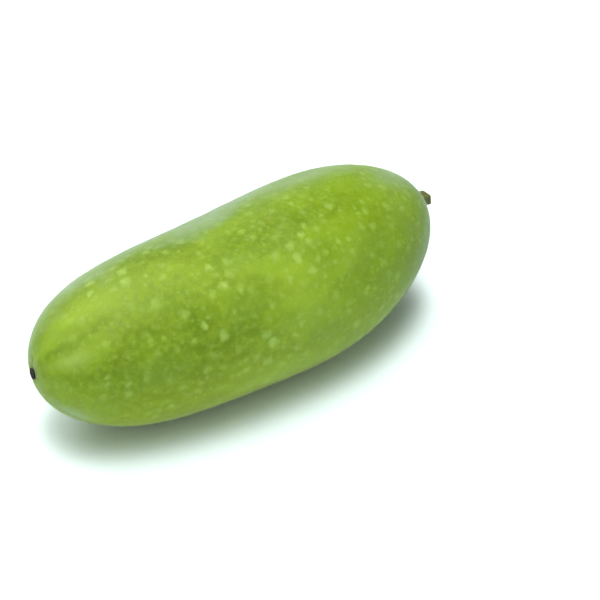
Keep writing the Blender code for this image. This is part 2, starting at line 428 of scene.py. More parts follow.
def makeGrain():
    # fine relief for a Bump node: two sizes of noise added
    tree, graph, given, out = newGroup("grain", {"Size": 0.001, "Coarse": 0.5}, "Height")
    scale = graph.math("DIVIDE", 1.0, given["Size"])
    fine = graph.noise(given["Vector"], scale, effects["fineDetail"])
    coarseScale = graph.times(scale, effects["coarseScale"])
    coarse = graph.noise(given["Vector"], coarseScale, effects["coarseDetail"])
    tree.links.new(graph.math("ADD", fine, graph.times(coarse, given["Coarse"])), out)
    return tree


clouds, spots, grain = makeClouds(), makeSpots(), makeGrain()


def colour(red, green, blue):
    # a colour as a screen shows it, from 0 to 255, made linear by the sRGB curve
    channels = [value / 255 for value in (red, green, blue)]
    return tuple(c / 12.92 if c <= 0.04045 else ((c + 0.055) / 1.055) ** 2.4 for c in channels) + (1.0,)


def newMaterial(name, finish):
    # a Principled material with the finish's values set on the shader's own sockets, and the
    # Object coordinates that its patterns lie on
    material = bpy.data.materials.new(name)
    material.use_nodes = True
    shader = material.node_tree.nodes["Principled BSDF"]
    for key, value in finish.items():
        shader.inputs[key].default_value = value
    graph = Graph(material.node_tree)
    return material, graph, shader, graph.node("ShaderNodeTexCoord").outputs["Object"]


def connect(graph, shader, tone, rough=None, normal=None):
    for key, socket in (("Base Color", tone), ("Roughness", rough), ("Normal", normal)):
        if socket is not None:
            graph.feed(shader, key, socket)


print("effects made")


# The skin

skin = {
    "under": colour(94, 124, 5),
    # coats of colour from the lowest up, and how strongly each covers what is under it
    "coats": {
        "fresh": (colour(116, 145, 20), 1.0),
        "olive": (colour(90, 115, 6), 0.62),
        # painted light: the top lighter towards the scar end, where the light from above falls
        "paintedTopLight": (colour(138, 162, 54), 0.52),
        # painted bounce light from the ground: the lower side lighter and yellower
        "lowerSide": (colour(141, 158, 20), 0.60),
        "blotch": (colour(110, 120, 2), 0.30),
        "darker": (colour(80, 108, 1), 0.64),
        "paler": (colour(152, 182, 58), 0.46),
        "mottle": (colour(136, 162, 44), 0.36),
        "stemSide": (colour(112, 142, 4), 0.45),
        "fleck": (colour(158, 188, 92), 0.29),
        "speckle": (colour(161, 191, 94), 0.78),
        "pore": (colour(170, 196, 104), 0.27),
        # a powdery bloom in patches, and over the far side a painted sheen
        "bloomAndSheen": (colour(114, 142, 54), 0.30),
        # a frost that is partly a painted sheen, pale and grey along the top rim
        "frost": (colour(149, 171, 142), 0.66),
        "groundSpot": (colour(172, 176, 88), 0.60),
        # painted shade along the furrows near the scar
        "furrowShade": (colour(88, 112, 6), 0.28),
        "rubbed": (colour(144, 166, 80), 0.60),
        # painted shade: darker green on the lower near side of the stem end
        "shoulderShade": (colour(66, 98, 2), 0.66),
        "stubRing": (colour(74, 84, 22), 0.55),
        "scarRing": (colour(112, 112, 48), 0.65),
    },
    # soft patches of noise: size, detail, where the mask is 0 and 1, scale along, move
    "patchy": {
        "fresh": (0.030, 2.0, (0.38, 0.62), 0.50, (0, 0, 0)),
        "olive": (0.019, 2.0, (0.48, 0.66), 0.55, (0.31, 0.2, 0.05)),
        "blotch": (0.011, 2.0, (0.44, 0.60), 0.70, (0.7, 0.3, 0.6)),
        "mottle": (0.0050, 2.0, (0.40, 0.68), 1.0, (0, 0, 0)),
        "crowd": (0.045, 1.0, (0.36, 0.64), 1.0, (0.5, 0.1, 0.3)),
        "dust": (0.026, 3.0, (0.48, 0.64), 0.70, (0.9, 0.4, 0.7)),
        "frosting": (0.024, 3.0, (0.25, 0.75), 0.60, (0.2, 0.6, 0.1)),
    },
    # scattered spots: spacing, radius as a share of it, how many show, how bent they are
    "spotty": {
        "fleck": (0.0050, 0.50, 0.60, 0.5),
        "speckle": (0.0088, 0.56, 0.88, 0.5),
        "pore": (0.0022, 0.24, 0.85, 0.3),
    },
    # where a mask is 0 and where it is 1: shares of the way along, or metres from the axis
    "reaches": {
        "paintedTopLightEnd": (0.44, 0.09),
        "paintedTopLightSide": (0.015, 0.050),
        "lowerSide": (0.030, -0.040),
        "stemSide": (0.42, 0.78),
        "scarEnd": (0.023, 0.147),
        "stubEnd": (0.95, 0.65),
        "bloomAndSheenSide": (-0.015, 0.020),
        "frostAndSheenSide": (0.004, 0.041),
        "frostAndSheenHeight": (0.000, 0.034),
        "groundSpot": (-0.030, -0.0645),
        "shoulderShadeEnd": (0.66, 0.97),
        "shoulderShadeSide": (0.050, -0.010),
        "speckled": (0.20, 0.85),  # cosines from speckledTowards
    },
    "speckledTowards": math.radians(132),  # the side where the speckles crowd
    # what is left of a mask where the one that thins it is 0
    "least": {"blotch": 0.35, "patch": 0.6, "farSide": 0.3, "lone": 0.42,
              "scarEnd": 0.15, "stubEnd": 0.4, "frost": 0.55, "lowFrostAndSheen": 0.35},
    "dustShare": 0.8,
    "frostAndSheenWaver": 0.016,  # how far the edge of the frost and painted sheen moves to and fro
    # single patches, each a bell: x, degrees round, reach along, reach round
    "patches": {
        "rubbed": ((-0.885, 141, 0.010, 0.009),),
        "darker": (
            (-0.68, 164, 0.058, 0.019),  # a long streak from the scar along the near side
            (-0.80, 123, 0.026, 0.0045),  # a thin one beside the pale one
            (-0.62, 139, 0.020, 0.008),
            (-0.43, 142, 0.013, 0.024),  # a band across
            (-0.24, 153, 0.018, 0.015),
            (-0.72, 78, 0.046, 0.013),
            (-0.31, 85, 0.034, 0.011),
            (0.18, 112, 0.016, 0.010),
            # the next bell is painted shade over the shoulder at the stub
            (0.90, 150, 0.024, 0.030),  # the shoulder at the stub
        ),
        "paler": (
            (-0.84, 104, 0.036, 0.010),  # a streak from the scar along the top
            (-0.93, 109, 0.012, 0.010),
            (-0.17, 123, 0.015, 0.012),
            (-0.07, 90, 0.026, 0.010),
            (0.08, 148, 0.040, 0.026),
            (-0.08, 202, 0.032, 0.013),
        ),
        # patches of frost that are partly a painted sheen at the rim
        "frostAndSheenSpots": (
            (0.82, 103, 0.025, 0.018),  # over the shoulder at the stub
            (0.40, 73, 0.052, 0.013),
            (-0.47, 64, 0.030, 0.012),
            (-0.90, 222, 0.009, 0.016),  # under the scar
        ),
    },
    "scarRingReach": (0.0040, 0.0064),  # distance from the axis: full, gone
    "stubRingReach": (0.0090, 0.0150),
    "ringWaves": ((5, 0.5, 0.9), (11, 0.3, 2.0), (23, 0.2, 0.0)),  # turns round, height, start
    "ringRagged": 0.35,
    "roughness": (0.56, 0.10),  # between the mottles, and what they add
    "grain": {"Size": 0.0011, "Coarse": 1.4},
    "raised": {"speckle": 0.4, "pore": 0.5},  # what the spots add to the grain's height
    "relief": (0.35, 0.00025),  # strength, distance
    "finish": {
        "Sheen Weight": 0.26,
        "Sheen Roughness": 0.30,
        "Sheen Tint": (0.76, 0.88, 1.0, 1.0),
        "IOR": 1.26,
    },
}


def skinMasks(graph, solid, place):
    # where each coat lies, from 0 to 1
    parts = graph.node("ShaderNodeSeparateXYZ", Vector=place).outputs
    along = graph.math("DIVIDE", parts[0], melon["length"])  # 0 at the scar and 1 at the stub
    sideways = parts[1]  # from the axis, towards the hollow side of the bend
    upness = parts[2]  # above the axis
    least = skin["least"]

    def patchy(name, vector):
        size, detail, (low, high), scale, move = skin["patchy"][name]
        drawnOut = graph.place(vector, scale=(scale, 1, 1), move=move)
        return graph.group(clouds, Vector=drawnOut, Size=size, Detail=detail, Low=low, High=high)

    def spotty(name):
        spacing, radius, share, wobble = skin["spotty"][name]
        return graph.group(spots, Vector=solid, Spacing=spacing, Radius=radius, Share=share, Wobble=wobble)

    def reached(value, name, lowest=0.0):
        gone, full = skin["reaches"][name]
        return graph.span(value, gone, full, lowest, 1.0)

    masks = {name: graph.read(name) for name in ("furrowShade", "rubbed", "scarRing", "stubRing")}
    masks.update({name: patchy(name, place) for name in ("fresh", "olive")})
    masks.update({name: spotty(name) for name in ("fleck", "pore")})
    # the lower side's mask, for its painted bounce light and for where the blotches crowd
    masks.update({name: reached(upness, name) for name in ("lowerSide", "groundSpot")})
    masks["mottle"] = patchy("mottle", solid)
    masks["stemSide"] = reached(along, "stemSide")
    for name in ("darker", "paler"):
        masks[name] = graph.times(graph.read(name), graph.atLeast(least["patch"], masks["fresh"]))
    # painted light, lighter on the top towards the scar end
    masks["paintedTopLight"] = graph.times(reached(upness, "paintedTopLightSide"), reached(along, "paintedTopLightEnd"))
    blotchy = graph.atLeast(least["blotch"], masks["lowerSide"])
    masks["blotch"] = graph.times(patchy("blotch", place), blotchy)
    # painted shade on the lower near side of the stem end
    masks["shoulderShade"] = graph.times(reached(along, "shoulderShadeEnd"), reached(upness, "shoulderShadeSide"))

    # speckles, which are stronger where they crowd on the upper side, and faint at both ends
    angle, half = skin["speckledTowards"], melon["girth"] / 2
    towards = (0, math.cos(angle) / half, math.sin(angle) / half)
    facing = reached(graph.vector("DOT_PRODUCT", place, "Value", at1=towards), "speckled")
    crowd = graph.times(patchy("crowd", solid), graph.atLeast(least["farSide"], facing))
    masks["speckle"] = graph.times(spotty("speckle"), graph.atLeast(least["lone"], crowd),
                                   reached(along, "scarEnd", least["scarEnd"]),
                                   reached(along, "stubEnd", least["stubEnd"]))

    # a thin powdery bloom in soft patches, with a painted sheen towards the far side, and along its top a
    # frost that is partly a painted sheen
    dust = graph.times(patchy("dust", place), skin["dustShare"])
    masks["bloomAndSheen"] = graph.math("MAXIMUM", dust, reached(sideways, "bloomAndSheenSide"))
    frosting = patchy("frosting", place)
    wavering = graph.math("ADD", sideways, graph.times(frosting, skin["frostAndSheenWaver"]))
    high = graph.atLeast(least["lowFrostAndSheen"], reached(upness, "frostAndSheenHeight"))
    frostAndSheenSpots = graph.times(reached(wavering, "frostAndSheenSide"), high)
    frostAndSheenSpots = graph.math("MAXIMUM", frostAndSheenSpots, graph.read("frostAndSheenSpots"))
    masks["frost"] = graph.times(frostAndSheenSpots, graph.atLeast(least["frost"], frosting))
    return masks


def makeSkin():
    # the coats over each other, on a grain that the spots stand out of
    material, graph, shader, solid = newMaterial("melonSkin", skin["finish"])
    masks = skinMasks(graph, solid, graph.read("skinPlace", "Vector"))
    tone = graph.coats(skin["under"], skin["coats"], masks)
    plain, added = skin["roughness"]
    rough = graph.math("ADD", graph.times(masks["mottle"], added), plain)
    height = graph.group(grain, Vector=solid, **skin["grain"])
    for name, rise in skin["raised"].items():
        height = graph.math("ADD", height, graph.times(masks[name], rise))
    connect(graph, shader, tone, rough, graph.relief(height, *skin["relief"]))
    return material


def ringMask(x, angle, reach, end):
    # 1 up to one distance from the axis and 0 past another, with an edge that waves round it
    full, gone = reach
    ragged = sum(height * np.sin(turns * angle + start) for turns, height, start in skin["ringWaves"])
    away = barrelRadius(x) + ragged * (gone - full) * skin["ringRagged"]
    return smoothStep((gone - away) / (gone - full)) * (end * x > melon["dimpleFrom"])


def patchBell(x, angle, patchX, patchAngle, reachAlong, reachRound):
    # a bell over the distances along the fruit and round it from one place on the skin
    along = (x - patchX) * melon["length"] / 2 / reachAlong
    around = (angle - math.radians(patchAngle)) * melon["girth"] / 2 / reachRound
    return np.exp(-(along**2) - around**2)


def makeFruit(material):
    # the grid of the form's rows and sides, with a ring and a tip for the floor of each socket
    angle = turnAngles(melon["sides"])
    x = evenRows(melon["rows"])[:, None]
    blossomRadius, blossomDepth = melon["blossomSocket"]
    stemRadius, stemDepth = melon["stemSocket"]
    blossomFloor = float(dimpleDepth(blossomEnd, blossomRadius)) + blossomDepth
    stemFloor = float(dimpleDepth(stemEnd, stemRadius)) - stemDepth
    first = sweptPoints(np.array([[blossomEnd]]), blossomFloor, blossomRadius, angle)
    last = sweptPoints(np.array([[stemEnd]]), stemFloor, stemRadius, angle)
    tips = np.stack([sweptPoints(blossomEnd, blossomFloor, 0.0, 0.0),
                     sweptPoints(stemEnd, stemFloor, 0.0, 0.0)])
    points, faces = closedTube(np.concatenate([first, formPoints(x, angle, True), last]), tips, True)
    points = laid(points)
    points[:, 2] = np.maximum(points[:, 2], 0.0)  # the rest spot, pressed level with the ground

    # skinPlace is the place on the straightened fruit: along the axis, sideways and up
    x = np.concatenate([[[blossomEnd]], x, [[stemEnd]]])
    radius = barrelRadius(x)
    distance = (x + 1) * melon["length"] / 2
    place = np.stack([distance + 0 * angle, radius * np.cos(angle), radius * np.sin(angle)], -1)
    uses = {
        "skinPlace": withTips(place, (0, 0, 0), (melon["length"], 0, 0)),
        # where the furrows' painted shade lies
        "furrowShade": withTips(furrowGroove(x, angle, radius), 0, 0),
        "scarRing": withTips(ringMask(x, angle, skin["scarRingReach"], -1), 1, 0),
        "stubRing": withTips(ringMask(x, angle, skin["stubRingReach"], 1), 0, 1),
    }
    for name, bells in skin["patches"].items():
        uses[name] = withTips(sum(patchBell(x, angle, *bell) for bell in bells), 0, 0)
    piece = addMesh("melonFruit", points, faces, material, uses)
    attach(piece, "root")
    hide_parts("fruit")


makeFruit(makeSkin())
print("skin made")


# The cut stub of the stalk. It repeats the solid's form, with finer ribs and a real cut face,
# and its foot spreads over the rim of the socket.

stub = {
    "length": 0.0200,  # that stands out of the fruit
    "radius": 0.0054,
    "footReach": 0.0027,
    "footEdge": (0.0098, 0.0010),  # distance of the foot's edge from the axis, and its lobes
    "footSunk": 0.00025,
    "endSwell": (0.06, 0.7),  # share of the radius, and the share of the length where it starts
    "ribs": 5,
    "ribTurn": 0.4,
    "ribShare": 0.085,
    "ribFull": 0.3,
    "ribSquareness": 0.22,
    "lean": (-0.0032, -0.0019),  # drift of the cut end along Y and Z
    "hollow": 0.0011,
    "seatGap": 0.0003,
    "neckGaps": 3,  # how far under the socket's rim the foot starts to spread, in seat gaps
    # fine waves on the wall, as shares of the radius: turns, sway, bends, start, height
    "fibres": ((31, 2.2, 5.0, 0.0, 0.006), (47, 3.1, -1.0, 1.3, 0.004)),
    "fibreFrom": 0.15,
    "wrinkles": (7, 0.12, 0.008),  # rings along, sway, height
    "wrinkleFrom": 0.3,
    # the cut face, whose place runs from 1 at its rim to 0 in the middle. It sinks twice: where
    # it starts, over how much, and the share of the hollow
    "cutSink": ((0.88, 0.45, 1.0), (0.30, 0.30, 0.3)),
    "cutBundles": (0.60, 0.07, 0.00022),  # place, breadth, height
    "cutLines": (9, 24, 0.00006),  # sawn lines: waves across, waves down, height
    "cutEdge": 0.96,
    "rows": 84,
    "rowCrowding": 1.3,
    "cutRows": 30,
    "cutMiddle": 0.03,
    "offCut": 2.0,  # cutPlace on the wall, well past the rim's 1
    "sides": 150,
    "under": colour(44, 54, 10),
    "coats": {
        "rib": (colour(80, 92, 28), 1.0),
        "fibre": (colour(104, 104, 60), 0.50),
        "drying": (colour(104, 102, 62), 0.62),
        "foot": (colour(68, 92, 14), 0.75),
    },
    "flesh": colour(142, 136, 88),
    # rings of the cut: colour, and the places where it is 0 and 1
    "cutRings": (
        (colour(92, 86, 44), 0.80, 0.52),
        (colour(70, 60, 32), 0.42, 0.20),
    ),
    "cutRim": (0.93, 1.0),
    "cutStains": 0.5,
    # where a mask is 0 and where it is 1: the rib's own height, or the height up the stub
    "reaches": {"rib": (-0.9, 0.9), "drying": (0.35, 1.0), "foot": (0.30, 0.02)},
    "dryLeast": 0.25,  # what is left of the drying between its patches
    "dryPatches": {"Size": 0.0035, "Detail": 3.0, "Low": 0.38, "High": 0.66},
    "fibrePatches": {"Size": 0.35, "Detail": 4.0, "Low": 0.35, "High": 0.68},
    "fibreScale": (0.5, 4, 4),  # on stubPlace, so that the fibres run up the wall
    "grain": {"Size": 0.5, "Coarse": 0.8},
    "grainScale": (2, 5, 5),
    "roughness": (0.66, 0.88),
    "relief": (0.6, 0.0003),
    "finish": {"IOR": 1.4},
}


def makeStub(material):
    # wall: shaft radius times ribs, spread by an exponential foot, leaning as the square of the
    # height. Cut: the wall's last ring drawn in to the middle, sunk by S curves, with small bumps.
    socketRadius, socketDepth = melon["stemSocket"]
    point, along, _ = axisFrame(stemEnd)
    rim = float(dimpleDepth(stemEnd, socketRadius))
    rootRadius, root = socketRadius - stub["seatGap"], rim - socketDepth + stub["seatGap"]
    angle = turnAngles(stub["sides"])
    ribAngle = stub["ribs"] * angle + stub["ribTurn"]
    rib = np.cos(ribAngle) + stub["ribSquareness"] * np.cos(2 * ribAngle)
    share = np.linspace(0, 1, stub["rows"])[:, None] ** stub["rowCrowding"]
    height = share * stub["length"]

    swell, swellFrom = stub["endSwell"]
    fibres = sum(wave * np.sin(turns * angle + start + sway * np.sin(bends * share))
                 for turns, sway, bends, start, wave in stub["fibres"])
    rings, sway, wrinkle = stub["wrinkles"]
    wrinkles = wrinkle * np.sin(2 * math.pi * (share * rings + sway * np.sin(2 * angle)))
    wave = stub["ribShare"] * smoothStep(share / stub["ribFull"]) * rib
    wave = wave + fibres * smoothStep(share / stub["fibreFrom"])
    wave = wave + wrinkles * smoothStep(share / stub["wrinkleFrom"] - 1)
    shaft = stub["radius"] * (1 + swell * smoothStep((share - swellFrom) / (1 - swellFrom))) * (1 + wave)
    edge = stub["footEdge"][0] + stub["footEdge"][1] * rib
    flare = np.exp(-height / stub["footReach"])
    lean = np.array([0.0, *stub["lean"]])
    wall = sweptPoints(stemEnd, rim + height, shaft + (edge - shaft) * flare, angle)
    wall = wall + lean * share[..., None] ** 2
    onSkin = formPoints(placeOfRadius(edge, 1), angle, True) - along * stub["footSunk"]
    wall = wall + (onSkin - wall[:1]) * flare[..., None]
    neck = rim - stub["neckGaps"] * stub["seatGap"]
    foot = [sweptPoints(stemEnd, inset, rootRadius, angle) for inset in (root, neck)]

    middle = point + along * (rim + stub["length"]) + lean
    inward = np.linspace(1, stub["cutMiddle"], stub["cutRows"] + 1)[1:, None]
    sunk = sum(part * smoothStep((start - inward) / over) for start, over, part in stub["cutSink"])
    place, breadth, bump = stub["cutBundles"]
    bundles = bump * np.exp(-((inward - place) / breadth) ** 2) * np.maximum(np.cos(2 * ribAngle), 0)
    across, down, line = stub["cutLines"]
    sawn = line * np.sin(inward * (across * np.cos(angle) + down * np.sin(angle)))
    edgeFade = smoothStep((stub["cutEdge"] - inward) / (1 - stub["cutEdge"]))
    rise = bundles + sawn * edgeFade - stub["hollow"] * sunk
    cut = middle + (wall[-1:] - middle) * inward[..., None] + along * rise[..., None]
    deepest = stub["hollow"] * sum(part for _, _, part in stub["cutSink"])
    tips = np.stack([point + along * root, middle - along * deepest])
    points, faces = closedTube(np.concatenate([*foot, wall, cut]), tips, True)

    # stubPlace is the height, 0 at the foot and 1 at the cut, and a circle; cutPlace is the share
    # of the way from the middle of the cut to its rim
    off = stub["offCut"]
    flat = np.zeros((1, stub["sides"]))
    heights = np.concatenate([flat, flat, share + flat, 1 + 0 * inward + flat])
    inwards = np.concatenate([flat + off, flat + off, off + 0 * share + flat, inward + flat])
    place = np.stack([heights, np.cos(angle) + 0 * heights, np.sin(angle) + 0 * heights], -1)
    uses = {
        "stubPlace": withTips(place, (0, 0, 0), (1, 0, 0)),
        "cutPlace": withTips(inwards, off, 0),
        "ribHeight": withTips(rib + 0 * heights, 0, 0),
    }
    piece = addMesh("stalkStub", laid(points), faces, material, uses)
    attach(piece, "root")
    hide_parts("stem_stub")
    return piece


def makeBark():
    # ribs, fibres and drying patches on the wall, and rings with stains on the cut
    material, graph, shader, solid = newMaterial("stalkBark", stub["finish"])
    reaches = stub["reaches"]
    place = graph.read("stubPlace", "Vector")
    cut = graph.read("cutPlace")
    height = graph.node("ShaderNodeSeparateXYZ", Vector=place).outputs[0]
    dry = graph.group(clouds, Vector=solid, **stub["dryPatches"])
    drawnOut = graph.place(place, stub["fibreScale"])
    upper = graph.span(height, *reaches["drying"])
    masks = {
        "rib": graph.span(graph.read("ribHeight"), *reaches["rib"]),
        "fibre": graph.group(clouds, Vector=drawnOut, **stub["fibrePatches"]),
        "drying": graph.times(upper, graph.atLeast(stub["dryLeast"], dry)),
        "foot": graph.span(height, *reaches["foot"]),
    }
    tone = graph.coats(stub["under"], stub["coats"], masks)
    face = stub["flesh"]
    for paint, gone, full in stub["cutRings"]:
        face = graph.blend(graph.span(cut, gone, full), face, paint)
    face = graph.blend(graph.times(dry, stub["cutStains"]), face, stub["flesh"])
    face = graph.blend(graph.span(cut, *stub["cutRim"]), face, stub["under"])
    onCut = graph.math("LESS_THAN", cut, (1 + stub["offCut"]) / 2)
    tone = graph.blend(onCut, tone, face)
    bumps = graph.group(grain, Vector=graph.place(place, stub["grainScale"]), **stub["grain"])
    rough = graph.span(masks["fibre"], 0.0, 1.0, *stub["roughness"])
    connect(graph, shader, tone, rough, graph.relief(bumps, *stub["relief"]))
    return material


stalkStub = makeStub(makeBark())
print("stalk stub made")


# The dried scar at the narrow end. It repeats the solid's form, with wrinkles and a ragged rim.

scar = {
    "radius": 0.0038,
    "height": 0.0019,
    "hollow": 0.0010,
    "seatGap": 0.0003,
    # knots of its profile, as the place along it, a share of the radius and a share of the height
    "wall": ((0.32, 1.0, 0.45), (0.44, 0.93, 0.80), (0.62, 0.66, 1.0)),
    "socketTop": 0.16,  # the place along the profile where it leaves the socket
    "face": ((0.82, 0.34, 0.8), (1.0, 0.04, 1.0)),  # here a share of the hollow
    "puckers": ((5, 1.1, 0.10), (13, 0.7 - math.pi / 2, 0.035), (21, 2.9 - math.pi / 2, 0.025)),
    "wrinkles": ((17, 6.0, 0.0, 1.0), (10, -9.0, 1.7, 0.8)),  # turns round, twist, start, share
    "wrinkleHeight": 0.00010,
    "puckerFade": 0.12,  # the part of the profile over which the puckers grow
    "faceFrom": (0.40, 0.1),  # the place where the wrinkles start, and over how much they grow
    "smoothMiddle": 0.3,  # share of the radius inside which they die away
    "rows": 70,
    "sides": 120,
    "under": colour(12, 9, 6),
    "coats": {
        "ridge": (colour(34, 27, 17), 1.0),
        "flaking": (colour(92, 78, 52), 0.35),
        "eye": (colour(12, 9, 6), 1.0),
    },
    # where a mask is 0 and where it is 1: a wrinkle's own height, or the place along the profile
    "reaches": {"ridge": (-0.6, 1.4), "eye": (0.70, 0.95)},
    "flakes": {"Size": 0.0016, "Detail": 3.0, "Low": 0.42, "High": 0.66},
    "grain": {"Size": 0.0005, "Coarse": 1.0},
    "roughness": (0.75, 0.92),
    "relief": (0.8, 0.0002),
    "finish": {"IOR": 1.45},
}


def makeScar(material):
    # a profile through (radius, inset) knots, turned round the axis; its radius is puckered by
    # cosines round it, and its face wrinkled by waves that run out from the middle
    socketRadius, socketDepth = melon["blossomSocket"]
    point, along, _ = axisFrame(blossomEnd)
    rim = float(dimpleDepth(blossomEnd, socketRadius))
    gap, size, height = scar["seatGap"], scar["radius"], scar["height"]
    knots = [(0, socketRadius - gap, socketDepth - gap), (scar["socketTop"], socketRadius - gap, -gap)]
    knots += [(place, size * part, -height * rise) for place, part, rise in scar["wall"]]
    knots += [(place, size * part, scar["hollow"] * sunk - height) for place, part, sunk in scar["face"]]
    knotShare, knotRadius, knotInset = np.array(knots).T
    share = np.linspace(0, 1, scar["rows"])[:, None]
    radius = np.interp(share, knotShare, knotRadius)
    inset = np.interp(share, knotShare, knotInset)
    angle = turnAngles(scar["sides"])
    puckers = sum(part * np.cos(turns * angle + start) for turns, start, part in scar["puckers"])
    pucker = 1 + puckers * smoothStep((share - scar["socketTop"]) / scar["puckerFade"])
    faceStart, faceOver = scar["faceFrom"]
    face = smoothStep((share - faceStart) / faceOver) * smoothStep(radius / (size * scar["smoothMiddle"]))
    waves = sum(part * np.sin(turns * angle + twist * share + start)
                for turns, twist, start, part in scar["wrinkles"])
    wrinkle = waves * face
    grid = sweptPoints(blossomEnd, rim + inset + scar["wrinkleHeight"] * wrinkle, radius * pucker, angle)
    tips = np.stack([point + along * (rim + socketDepth - gap),
                     point + along * (rim - height + scar["hollow"])])
    points, faces = closedTube(grid, tips, False)  # its rows run out of the fruit, against the axis
    uses = {"scarPlace": withTips(share + 0 * wrinkle, 0, 1), "scarRidge": withTips(wrinkle, 0, 0)}
    piece = addMesh("flowerScar", laid(points), faces, material, uses)
    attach(piece, "root")
    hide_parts("blossom_scar")


def makeCrust():
    # nearly black, with paler ridges, flakes and a dark eye
    material, graph, shader, solid = newMaterial("scarCrust", scar["finish"])
    masks = {
        "ridge": graph.span(graph.read("scarRidge"), *scar["reaches"]["ridge"]),
        "flaking": graph.group(clouds, Vector=solid, **scar["flakes"]),
        "eye": graph.span(graph.read("scarPlace"), *scar["reaches"]["eye"]),
    }
    tone = graph.coats(scar["under"], scar["coats"], masks)
    height = graph.group(grain, Vector=solid, **scar["grain"])
    rough = graph.span(masks["flaking"], 0.0, 1.0, *scar["roughness"])
    connect(graph, shader, tone, rough, graph.relief(height, *scar["relief"]))
    return material


makeScar(makeCrust())
print("dried scar made")


# The hairs: a short, stiff, pale down all over the skin, and coarser bristles on the stub

down = {
    "seed": 5,
    "hairs": 46000,
    "length": (0.0008, 0.0017),  # shortest, longest
    "thickness": 0.00007,
    "leanToStem": 0.35,
    "clearOfGround": 0.0035,
    "areaSteps": 2001,  # in the table of the skin's area
    "normalSteps": (0.0005, 0.002),  # in x and in radians, to the points that give a normal
}

bristles = {
    "seed": 8,
    "hairs": 900,
    "length": (0.0007, 0.0018),
    "thickness": 0.00010,
    "freeRows": 12,  # at the stub's foot
}

hair = {
    "buried": 0.00025,
    "unruly": 0.32,
    "steep": 0.8,  # the rise past which a hair is squared against X, not Z
    "tipReach": (0.0, 0.6),  # shares of a hair where the tip's colour starts and is full
    "unevenPatches": {"Size": 0.010, "Detail": 1.0, "Low": 0.3, "High": 0.7},
    "finish": {"IOR": 1.45},
    "root": colour(136, 160, 74),
    "coats": {
        "tip": (colour(204, 217, 152), 1.0),
        "uneven": (colour(136, 160, 74), 0.35),
    },
    "roughness": (0.40, 0.60),
}


def hairMesh(name, roots, directions, lengths, thickness, material):
    # each hair is a closed three-sided spike: three root corners round its line, on a circle
    # squared to it, and one tip
    directions = unit(directions)
    flat = np.abs(directions[:, 2:]) < hair["steep"]
    helper = np.where(flat, np.array([[0.0, 0, 1]]), np.array([[1.0, 0, 0]]))
    first = unit(np.cross(directions, helper))
    second = np.cross(directions, first)
    turns = np.arange(3) * 2 * math.pi / 3
    corners = np.cos(turns)[None, :, None] * first[:, None] + np.sin(turns)[None, :, None] * second[:, None]
    base = (roots - directions * hair["buried"])[:, None] + corners * thickness / 2
    tips = roots + directions * lengths[:, None]
    points = np.concatenate([base, tips[:, None]], 1).reshape(-1, 3)
    spike = np.array([[0, 1, 3], [1, 2, 3], [2, 0, 3], [0, 2, 1]])
    faces = (np.arange(len(roots))[:, None, None] * 4 + spike[None]).reshape(-1, 3)
    shares = np.tile([0.0, 0.0, 0.0, 1.0], len(roots))
    piece = addMesh(name, points, [faces], material, {"hairShare": shares})
    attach(piece, "root")
    return piece


def makeDown(material):
    # roots spread evenly over the skin's area, each hair along the skin's normal, leaning
    # a little towards the stem and a little at random
    draw = np.random.default_rng(down["seed"])
    fine = evenRows(down["areaSteps"])
    ring = barrelRadius(fine)
    area = np.cumsum(ring * np.hypot(np.gradient(ring), np.gradient(fine) * melon["length"] / 2))
    x = np.interp(draw.uniform(0, area[-1], down["hairs"]), area, fine)
    angle = draw.uniform(0, 2 * math.pi, down["hairs"])
    roots = laid(formPoints(x, angle, True))
    step, turn = down["normalSteps"]
    ahead = laid(formPoints(np.minimum(x + step, stemEnd), angle, True))
    ahead = unit(ahead - laid(formPoints(np.maximum(x - step, blossomEnd), angle, True)))
    beside = laid(formPoints(x, angle + turn, True))
    outward = unit(np.cross(ahead, beside - roots))
    onAxis = laid(sweptPoints(x, 0.0, 0.0, angle))
    outward = outward * np.sign(np.sum(outward * (roots - onAxis), -1, keepdims=True))
    directions = outward + ahead * down["leanToStem"] + draw.normal(0, hair["unruly"], (len(x), 3))
    lengths = draw.uniform(*down["length"], len(x))
    kept = roots[:, 2] > down["clearOfGround"]
    piece = hairMesh("skinDown", roots[kept], directions[kept], lengths[kept], down["thickness"], material)


def makeBristles(material, wearer):
    # the same spikes on the stub's wall, at seeded points of it, along its own normals
    draw = np.random.default_rng(bristles["seed"])
    count = len(wearer.data.vertices)
    points, normals = np.empty(count * 3, np.float32), np.empty(count * 3, np.float32)
    wearer.data.vertices.foreach_get("co", points)
    wearer.data.vertices.foreach_get("normal", normals)
    points, normals = points.reshape(-1, 3), normals.reshape(-1, 3)
    wallPoints = np.arange(bristles["freeRows"] * stub["sides"], stub["rows"] * stub["sides"])
    picks = draw.choice(wallPoints, bristles["hairs"], replace=False)
    directions = normals[picks] + draw.normal(0, hair["unruly"], (len(picks), 3))
    lengths = draw.uniform(*bristles["length"], len(picks))
    piece = hairMesh("stubBristles", points[picks], directions, lengths, bristles["thickness"], material)


def makeHairFinish():
    # greener at the root and pale at the tip, in soft patches
    material, graph, shader, solid = newMaterial("paleHair", hair["finish"])
    masks = {
        "tip": graph.span(graph.read("hairShare"), *hair["tipReach"]),
        "uneven": graph.group(clouds, Vector=solid, **hair["unevenPatches"]),
    }
    tone = graph.coats(hair["root"], hair["coats"], masks)
    connect(graph, shader, tone, graph.span(masks["uneven"], 0.0, 1.0, *hair["roughness"]))
    return material


hairFinish = makeHairFinish()
makeDown(hairFinish)
makeBristles(hairFinish, stalkStub)
print("down and bristles made")


# The ground, the light and the camera. Turns are counted from the camera's side, seen from above.

